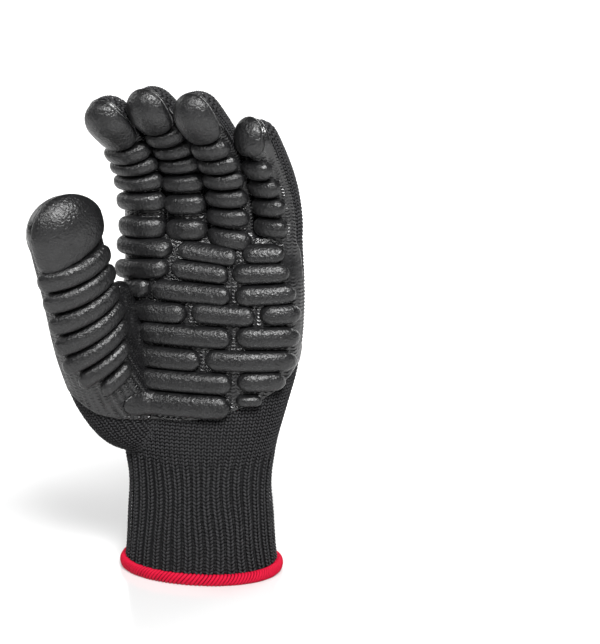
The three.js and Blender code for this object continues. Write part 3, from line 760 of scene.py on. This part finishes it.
def web_spot(wale, course, off):
    """The web's skin read in wales and courses."""
    z = np.clip(course * COURSE, WEB_TABLE[0, 0], WEB_TABLE[-1, 0])
    x, y, w, depth = read_table(WEB_TABLE, z)
    angle = 2 * np.pi * wale / WEB_WALES
    return np.stack(np.broadcast_arrays(
        x + (w / 2 + off) * np.sin(angle), y - (depth / 2 + off) * np.cos(angle), course * COURSE), -1)


def pull_to(surface, p, project=False):
    """Points moved to the nearest place on a mesh, or straight back along Y until they meet it."""
    target = add_object("target", surface)
    loose = add_object("loose", make_mesh("loose", p, np.zeros((0, 4))))
    wrap = loose.modifiers.new("wrap", "SHRINKWRAP")
    wrap.target = target
    wrap.wrap_method = "PROJECT" if project else "NEAREST_SURFACEPOINT"
    wrap.use_project_y = project
    done = loose.evaluated_get(bpy.context.evaluated_depsgraph_get()).to_mesh()
    co = np.empty(len(p) * 3, np.float32)
    done.vertices.foreach_get("co", co)
    for helper in (target, loose):
        bpy.data.objects.remove(helper)
    return co.reshape(-1, 3).astype(float) / MM


def yarn_mesh(name, path, out, radius):
    """Spindles of four sides along paths of five places: a point at both ends and three rings
    between, radius wide across the path and 0.9 of it in the direction out."""
    ahead = np.gradient(path, axis=1)
    ahead /= np.linalg.norm(ahead, axis=-1, keepdims=True)
    out = out - ahead * (out * ahead).sum(-1, keepdims=True)
    out /= np.linalg.norm(out, axis=-1, keepdims=True)
    across = np.cross(ahead, out)
    turn = circle(4)
    section = (across[:, 1:-1, None, :] * np.sin(turn)[:, None]
               + 0.9 * out[:, 1:-1, None, :] * np.cos(turn)[:, None])
    rings = path[:, 1:-1, None, :] + radius[..., None, None] * section
    count = len(rings)
    points = np.concatenate([path[:, :1], rings.reshape(count, 12, 3), path[:, -1:]], 1)
    quads = grid_faces(3, 4, round_columns=True, start=1)
    j = np.arange(4)
    ends = np.vstack([
        np.stack([np.zeros(4, int), 1 + (j + 1) % 4, 1 + j], -1),
        np.stack([np.full(4, 13), 9 + j, 9 + (j + 1) % 4], -1)])
    base = 14 * np.arange(count)[:, None, None]
    quads = (quads[None] + base).reshape(-1, 4)
    return make_mesh(name, points, quads, (ends[None] + base).reshape(-1, 3))


def lay_stitches(name, spot, wales, courses, others, limits=(-SEAM_DEPTH, -SEAM_DEPTH), ribbed=False):
    """Two legs a stitch, each a spindle of yarn from the foot of the V out to its arm, arched
    over the ground. Stitches under the coating are left out, and those nearer than a limit to
    another form or inside it, the limit going from one value to another over SEAM_RISE."""
    wale, course = [g.ravel() for g in np.meshgrid(np.arange(wales), courses)]
    rule = np.random.default_rng(7)
    side = np.repeat([1.0, -1.0], len(wale))[:, None]
    wale, course = np.tile(wale, 2)[:, None], np.tile(course, 2)[:, None]
    middle = spot(wale + side * 0.25, course, GROUND_SINK)[:, 0]
    show = (coat_measure(middle) < COAT_COVER) & (middle[:, 2] > HEM_TOP)
    upper = ease(middle[:, 2], SEAM_RISE)
    for measure in others:
        show &= measure(middle)[0] > limits[0] + (limits[1] - limits[0]) * upper
    wale, course, side, middle = wale[show], course[show], side[show], middle[show]
    shift = pull_to(ground_mesh, middle) - middle
    rib = np.zeros_like(course)
    if ribbed:
        rib = 1 - ease(course * COURSE, RIB_FADE)
        shift = shift * (rib < 0.01)
    sunk = wale % 2 == 1
    wide, lift, thick = [rib * np.where(sunk, SUNK_WALE[key], RAISED_WALE[key]) for key in RAISED_WALE]
    thick = YARN * (1 + thick) * (1 + YARN_UNEVEN * rule.standard_normal(wale.shape))
    s = np.array([0.0, 0.2, 0.5, 0.8, 1.0])[None, :]
    sway = 0.3 * np.sin(2 * np.pi * (course / 53 + wale / 38))
    sway = sway + 0.12 * np.sin(2 * np.pi * (course / 23 - wale / 19))
    u = wale + side * (1 + wide) * (LEG_PLACE + LEG_REACH * s) + sway
    u = u + LEG_JITTER * rule.standard_normal(wale.shape)
    v = course + (s - 0.5) * LEG_LENGTH + LEG_JITTER * rule.standard_normal(wale.shape)
    arch = GROUND_SINK + lift + ARCH * np.sin(np.pi * (0.05 + 0.9 * s)) ** 0.8
    path = spot(u, v, arch) + shift[:, None, :]
    out = spot(u, v, arch + 0.5) - spot(u, v, arch)
    mesh = yarn_mesh(name, path, out, thick * np.array([[0.78, 1.0, 0.8]]))
    # Painted shade and highlight on each leg: dark at its ends and on its underside, lighter on its top,
    # darker on the drawn-in wales of the rib, with a little random tone.
    painted_shade = np.concatenate([[0.1], np.array([[0.35], [0.6], [0.5]]).repeat(4, 1).ravel(), [0.1]])[None, :]
    painted_shade = painted_shade + np.concatenate([[0], np.tile([0.4, 0.0, -0.3, 0.0], 3), [0]])[None, :]
    painted_shade = painted_shade * (1 - 0.55 * rib * sunk) + 0.08 * rule.standard_normal(wale.shape)
    add_layer(mesh, "painted_shade", np.clip(painted_shade, 0, 1))
    mesh.materials.append(yarn_paint)
    piece = add_object(name, mesh)
    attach(piece, "root")


HEM_TOP = 4.6
yarn_paint, nodes, links, shader = paint("charcoal_yarn", (0.034, 0.034, 0.036), 0.85)
set_input(shader, "Specular IOR Level", 0.2)
set_input(shader, "Sheen Weight", 0.04)
set_input(shader, "Sheen Roughness", 0.5)
# The yarn's colour is painted shade and highlight, read from the per-point layer set by lay_stitches, with
# some random tone from noise.
painted_shade = layer_node(nodes, "painted_shade")
uneven = join(nodes, links, "MULTIPLY", speckle(nodes, links, 700), scale=0.3)
shade = join(nodes, links, "ADD", painted_shade.outputs["Fac"], join(nodes, links, "ADD", uneven, scale=-0.15))
tint(nodes, links, shader, shade, (0.004, 0.004, 0.0044), (0.036, 0.036, 0.038), 0.2, 0.95)
emboss(nodes, links, shader, speckle(nodes, links, 2400, 2), 0.12)
digit_tests = {name: (lambda p, d=d: digit_measure(d, p)) for name, d in digits.items()}
courses = np.arange(2.4, (HAND_LENGTH + 1.5) / COURSE)
cuff_courses = int(RIB_TOP / COURSE)
for name, rows in (("cuff_stitches", courses[:cuff_courses]), ("hand_stitches", courses[cuff_courses:])):
    lay_stitches(name, hand_spot, WALES, rows, [web_measure, *digit_tests.values()], ribbed=True)
rows = np.arange(WEB_TABLE[0, 0] / COURSE, WEB_TABLE[-1, 0] / COURSE)
lay_stitches("web_stitches", web_spot, WEB_WALES, rows, [hand_measure, *digit_tests.values()])
for name, d in digits.items():
    wales = THUMB_WALES if name == "thumb" else FINGER_WALES
    rows = np.arange(1, (d["tube"] + 0.93 * d["cap"]) / COURSE)
    tests = [hand_measure, web_measure, *(test for other, test in digit_tests.items() if other != name)]
    limits = (-SEAM_DEPTH, -SEAM_DEPTH) if name == "thumb" else (0.0, -ROOT_DEPTH)
    lay_stitches(f"{name}_stitches", digit_spot(d, wales), wales, rows, tests, limits)


# Cushions: rubber bars moulded on the coating, half round with domed ends, in rows over the
# palm and across every finger and the thumb, and one oval cushion over each tip.
PAD_BASE = COAT_RISE - 0.1
PAD_TOP = 6.3
PAD_WIDTH = 11.0
ROW_FILL = 1.15
PALM_ROWS = {
    # height of the row, then each bar's ends, shift up, half width and rise to its right end
    "a": (174.6, [(-37.5, -9, 0.2, 4.2, 0.0), (-4.8, 24, -1.1, 4.0, -1.6), (26.8, 46, -0.3, 4.2, 0.2)]),
    "b": (164.3, [(-39, -10.2, -0.7, 4.4, 1.8), (-7.4, 20.2, 0.1, 4.3, -1.2), (22.6, 48.5, 0.2, 4.4, 0.6)]),
    "c": (153.6, [(-34, -20, -0.4, 4.4, 1.4), (-17.2, 21.6, 0, 4.5, -0.8), (24, 51.5, 0, 4.5, 0.8)]),
    "d": (143.0, [(-28.7, -0.4, -0.4, 4.6, 0.2), (2.6, 33.4, 0.2, 4.6, -0.6), (36.6, 53.5, 0.6, 4.6, 0.2)]),
    "e": (131.6, [(-24.4, 22, 0, 4.8, -0.5), (24.8, 53, 0.2, 4.8, -0.2)]),
    "f": (119.6, [(-27.5, 7.2, -0.3, 4.8, -0.3), (10, 51.5, 0, 4.8, -0.4)]),
    "g": (108.0, [(-25, 22.6, 0, 4.8, -0.3), (25.8, 46.5, 0.8, 4.5, 0.0)]),
    "h": (96.6, [(-27.5, 21.5, -0.8, 5.4, -0.4)]),
}
BAR_ROWS = {
    # distance of the first bar below the tube's end, each bar's distance to the one before, the
    # angles that each bar spans, and how far its right end stands nearer the tip
    "index": (21.0, [0, 10.9, 11.4, 12.4, 14.2],
              [(-60, 64), (-60, 64), (-62, 62), (-62, 60), (-60, 56)], [0] * 5),
    "middle": (13.5, [0, 11.8, 11.8, 12.4, 12.4, 13.2],
               [(-44, 60), (-44, 60), (-44, 60), (-44, 58), (-42, 54), (-42, 52)], [0] * 6),
    "ring": (17.5, [0, 11.6, 11.6, 12.0, 11.8, 12.4],
             [(-42, 56), (-42, 56), (-42, 56), (-44, 54), (-46, 52), (-46, 58)], [0, 0, 0, 0, 0, -1.2]),
    "little": (12.2, [0, 12.2, 12.2, 12.2],
               [(-62, 38), (-58, 42), (-52, 44), (-46, 44)], [0.6, 0.6, 0.6, 0]),
    "thumb": (18.0, [0, 12.0, 11.8, 11.4, 10.6, 10.2, 9.8],
              [(-74, 56), (-74, 56), (-73, 54), (-71, 52), (-66, 48), (-50, 34), (-26, 22)],
              [2.2, 2.5, 2.8, 3.0, 3.2, 2.6, 2.0]),
}
HEEL_BUMP = {"u0": 24.8, "u1": 36.5, "v": 99, "half": 3.1, "top": 5.6}
BAR_OVER = 0.4
THUMB_SOLIDS = 5
TIP_TOP = 4.7
TIP_PADS = {
    # distance between foot and first bar, how far it runs past the tube's end, half the angle it
    # spans, its middle angle, its slant and the squareness of its foot
    "index": (1.2, 15.5, 58, 4, 0.0, 2.8),
    "middle": (0.6, 17.5, 57, 0, 0.0, 2.8),
    "ring": (1.2, 16.5, 56, 7, 0.0, 2.8),
    "little": (5.0, 15.5, 48, -8, 0.0, 3.4),
    "thumb": (1.2, 20.5, 70, 0, 0.4, 5.0),
}

TIP_PROFILE = np.array([
    # share of the outline and share of the height, from under the rim to the middle
    [0.4, -0.35], [0.8, -0.35], [1.12, -0.35], [1.15, -0.2], [1.145, 0.02], [1.115, 0.16],
    [1.08, 0.04], [1.05, -0.12], [1.02, -0.12], [1.01, 0.2], [0.995, 0.48], [0.965, 0.7],
    [0.92, 0.83], [0.85, 0.91], [0.74, 0.96], [0.58, 0.99], [0.4, 1.0], [0.2, 1.0],
])

pad_paint, nodes, links, shader = paint("moulded_rubber", (0.024, 0.024, 0.0255), 0.42)
grain = speckle(nodes, links, 560)
pores = nodes.new("ShaderNodeTexVoronoi")
set_input(pores, "Scale", 820)
place = nodes.new("ShaderNodeTexCoord")
links.new(place.outputs["Object"], pores.inputs["Vector"])
dents = join(nodes, links, "MULTIPLY", pores.outputs["Distance"], scale=0.35)
height = join(nodes, links, "ADD", grain, dents)
emboss(nodes, links, shader, height, 0.46)
tint(nodes, links, shader, speckle(nodes, links, 160), (0.004, 0.004, 0.0043), (0.010, 0.010, 0.0106))
links.new(mottle(nodes, links, 260, 0.3, 0.42), shader.inputs["Roughness"])


def add_pad(name, rings, first, last, node):
    """A closed cushion from its rings and poles, which stands for its solid."""
    points, quads, triangles = closed_tube(rings, first, last)
    mesh = make_mesh(name, points, quads, triangles)
    mesh.materials.append(pad_paint)
    piece = add_object(name, mesh)
    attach(piece, "root")
    if node:
        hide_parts(node)


def bar_pad(name, spot, u0, u1, v, half, unit=1, skew=0, top=PAD_TOP, node=None):
    """A bar on a surface spot(u, v, off), unit millimetres long for each step of u: half round
    across, its width and height falling as a quarter circle towards both ends."""
    reach = (u1 - u0) * unit / 2
    end = min(half * 1.05, reach * 0.6)
    q = np.sin(np.linspace(0, np.pi / 2, 9))
    x = np.concatenate([-(reach - end) - end * q[::-1], np.linspace(end - reach, reach - end, 16)[1:-1],
                        (reach - end) + end * q])
    past = np.clip((np.abs(x) - (reach - end)) / end, 0, 1)
    narrow = np.sqrt(1 - past ** 2)[:, None]
    turn = circle(28)[None, :]
    s, c = np.sin(turn), np.cos(turn)
    over = (top - PAD_BASE) * narrow ** 0.7 * np.abs(c) ** 0.66
    height = np.where(c > 0, over, -1.3 * narrow * np.abs(c))
    width = half * narrow * np.sign(s) * np.abs(s) ** 0.82
    u = (u0 + u1) / 2 + x[:, None] / unit
    place = spot(u + 0 * turn, v + skew * x[:, None] / reach + width, PAD_BASE + height)
    add_pad(name, place[1:-1], place[0, 0], place[-1, 0], node)


def palm_spot(x, z, off):
    """The palm read by x and height."""
    return hand_point_at_x(z, x, off)


def heel_spot(x, z, off):
    """The same, brought forward to the coating where the thumb's root carries it."""
    place = hand_point_at_x(z, x, off)
    base = hand_point_at_x(z, x, COAT_RISE)
    front = base.reshape(-1, 3) * [1, 0, 1] + [0, -70, 0]
    met = pull_to(coat_mesh, front, project=True).reshape(base.shape)
    lift = np.clip(base[..., 1] - met[..., 1], 0, 30) * (met[..., 1] > -69)
    place[..., 1] -= lift
    return place


def walk_point(d, t, angle, off):
    """A walk up a digit's palm side and on over its tip, as a latitude past the tube's end."""
    at, along, palm, side = digit_frame(d, t)
    w, depth, _ = read_table(d["table"], np.clip(t / d["tube"], 0, 1))
    b = depth * d["depth"] / 2
    over = np.maximum(t - d["tube"], 0) / ((b + d["cap"]) / 2)
    x = (w * d["width"] / 2 + off) * np.sin(angle)
    y = (b + off) * np.cos(angle) * np.cos(over)
    z = (d["cap"] + off) * np.cos(angle) * np.sin(over)
    return at + side * x[..., None] + palm * y[..., None] + along * z[..., None]


def tip_pad(name, d, start, stop, arc, centre, turn, foot, node):
    """A flat cushion that starts on the digit's front and runs up over its tip: a rounded outline,
    squarer at its foot by the power foot, with a steep rim, a groove and a thin bead round it."""
    share, lift = TIP_PROFILE.T[:, :, None]
    a = circle(56)[None, :]
    share = np.where((share > 1) & (np.cos(a) < 0), 1 + (share - 1) * (1 + 0.75 * np.cos(a)), share)
    power = np.where(np.cos(a) > 0, 2 / 2.2, 2 / foot)
    middle, reach = (start + stop) / 2, (stop - start) / 2
    across = share * np.sign(np.sin(a)) * np.abs(np.sin(a)) ** power
    t = share * np.sign(np.cos(a)) * np.abs(np.cos(a)) ** power + turn * across * (1 - np.cos(a)) / 2
    t = middle + reach * t
    rings = walk_point(d, t, centre + arc * across, PAD_BASE + (TIP_TOP - PAD_BASE) * lift + 0 * a)
    low = walk_point(d, np.array(middle), np.array(centre), PAD_BASE - 1.2)
    high = walk_point(d, np.array(middle), np.array(centre), TIP_TOP)
    add_pad(name, rings, low, high, node)


for row, (z, bars) in PALM_ROWS.items():
    spot = heel_spot if row == "h" else palm_spot
    for i, (x0, x1, dz, half, tilt) in enumerate(bars, 1):
        bar_pad(f"palm_bar_{row}{i}", spot, x0 - BAR_OVER, x1 + BAR_OVER, z + dz, half * ROW_FILL, 1, tilt,
                node=f"pad_palm_{row}{i}")
bar_pad("palm_bump_heel", palm_spot, **HEEL_BUMP)
for name, (first, steps, arcs, tilts) in BAR_ROWS.items():
    d = digits[name]
    unit = math.radians(1) * (d["width"] / 2 + 3)
    for i, (a0, a1) in enumerate(arcs, 1):
        half = min(PAD_WIDTH, steps[i - 1] * 0.9 if i > 1 else PAD_WIDTH) / 2
        node = None if name == "thumb" and i > THUMB_SOLIDS else f"pad_{name}_{i}"
        bar_pad(f"{name}_bar_{i}", lambda u, v, off: digit_point(d, v, np.radians(u), off), a0, a1,
                d["tube"] - first - sum(steps[:i]), half, unit, tilts[i - 1], node=node)
    foot_gap, over, arc, centre, turn, foot = TIP_PADS[name]
    tip_pad(f"{name}_tip", d, d["tube"] - first + PAD_WIDTH / 2 + foot_gap, d["tube"] + over,
            math.radians(arc), math.radians(centre), turn, foot, f"pad_{name}_tip")


# Hem: the cuff's raw edge is overcast with red thread on an overlock machine, wound loop by loop
# round the edge, so that the knit can't run.
LOOPS = 128
LOOP_PITCH = 1.8
HEM_HEIGHT = 4.9
HEM_HALF = 1.35
THREAD = 0.8
CORE_STEPS = 400
TURN_STEPS = 16
STRAND_SIDES = 6

hem_paint, nodes, links, shader = paint("red_thread", (0.56, 0.008, 0.03), 0.7)
set_input(shader, "Specular IOR Level", 0.15)
# The thread's colour is painted shade: dark on the core between the loops and on each thread's inner side,
# full red on its outer side.
painted_shade = layer_node(nodes, "painted_shade")
tint(nodes, links, shader, painted_shade.outputs["Fac"], (0.07, 0.0006, 0.005), (0.52, 0.003, 0.03), 0.3, 0.9)
emboss(nodes, links, shader, speckle(nodes, links, 2600, 2), 0.12)


def hem_point(angle, turn, out):
    """A point of the hem: round the cuff by an angle, and round the edge's own upright oval
    section by turn, at a distance out from its core."""
    z = HEM_HEIGHT / 2 + 0.2 + (HEM_HEIGHT / 2 - 0.2 + out) * np.sin(turn)
    centre = hand_point(np.zeros_like(z), angle, -0.9 + (HEM_HALF + out) * np.cos(turn))
    return np.stack([centre[..., 0], centre[..., 1], z], -1)


around = circle(CORE_STEPS)[:, None]
turn = circle(TURN_STEPS)[None, :]
core = hem_point(around + 0 * turn, turn + 0 * around, 0.0)
core_quads = grid_faces(CORE_STEPS, TURN_STEPS, True, True)[:, ::-1]
loop = np.arange(LOOPS)[:, None, None]
turn = turn[..., None]
ring = circle(STRAND_SIDES)[None, None, :]
angle = 2 * np.pi * (loop + np.sin(turn)) / LOOPS + 0 * ring
thick = THREAD * (1 + 0.06 * np.sin(7.3 * loop))
swing = thick * 1.12 * np.sin(ring) * 2 * np.pi / (LOOPS * LOOP_PITCH)
threads = hem_point(angle + swing, turn + 0 * angle, 0.25 + thick * np.cos(ring) + 0 * turn)
loop_quads = grid_faces(TURN_STEPS, STRAND_SIDES, True, True, start=core.size // 3)
loop_quads = loop_quads[None] + TURN_STEPS * STRAND_SIDES * loop
hem_mesh = make_mesh("hem_thread", np.vstack([core.reshape(-1, 3), threads.reshape(-1, 3)]),
                     np.vstack([core_quads, loop_quads.reshape(-1, 4)]))
# Painted shade for the hem: 0 on the core, rising to 1 on each thread's outer side.
painted_shade = np.concatenate([np.zeros(core.size // 3), (0.5 + 0.5 * np.cos(ring) + 0 * angle).ravel()])
add_layer(hem_mesh, "painted_shade", painted_shade)
hem_mesh.materials.append(hem_paint)
hem = add_object("hem_thread", hem_mesh)
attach(hem, "root")
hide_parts("hem_roll")


# Patch: a thin plastic film pressed on the back of the hand, with rounded corners and a bare,
# smooth face.
PATCH_WIDTH = 47
PATCH_LOW = 111
PATCH_HIGH = 159
PATCH_MIDDLE = 8
PATCH_SQUARE = 10.0
PATCH_RISE = 0.75
PATCH_FILM = 0.7
PATCH_EDGE_DROP = 0.12

patch_paint, nodes, links, shader = paint("bare_patch", (0.012, 0.012, 0.013), 0.35)
set_input(shader, "Specular IOR Level", 0.25)
links.new(mottle(nodes, links, 240, 0.31, 0.39), shader.inputs["Roughness"])
emboss(nodes, links, shader, speckle(nodes, links, 1200, 2), 0.02)
share = np.concatenate([[0.0], np.linspace(0.06, 0.94, 18), [0.97, 0.99, 1.0]])[:, None]
turn = circle(160)[None, :]
rim_x = PATCH_WIDTH / 2 * np.sign(np.sin(turn)) * np.abs(np.sin(turn)) ** (2 / PATCH_SQUARE)
rim_z = (PATCH_HIGH - PATCH_LOW) / 2 * np.sign(np.cos(turn)) * np.abs(np.cos(turn)) ** (2 / PATCH_SQUARE)


def patch_rings(share, off):
    """The patch's outline shrunk to each share and laid on the back of the hand."""
    z = (PATCH_LOW + PATCH_HIGH) / 2 + share * rim_z
    return hand_point_at_x(z, PATCH_MIDDLE + share * rim_x, off, back=True)


top = patch_rings(share[1:], PATCH_RISE - PATCH_EDGE_DROP * smooth_step((share[1:] - 0.95) / 0.05))
under = patch_rings(share[:0:-1], PATCH_RISE - PATCH_FILM)
points, quads, triangles = closed_tube(np.concatenate([top, under]), top[0].mean(0), under[-1].mean(0))
patch_mesh = make_mesh("back_patch_film", points, quads, triangles)
patch_mesh.materials.append(patch_paint)
patch = add_object("back_patch_film", patch_mesh)
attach(patch, "root")
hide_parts("back_patch")
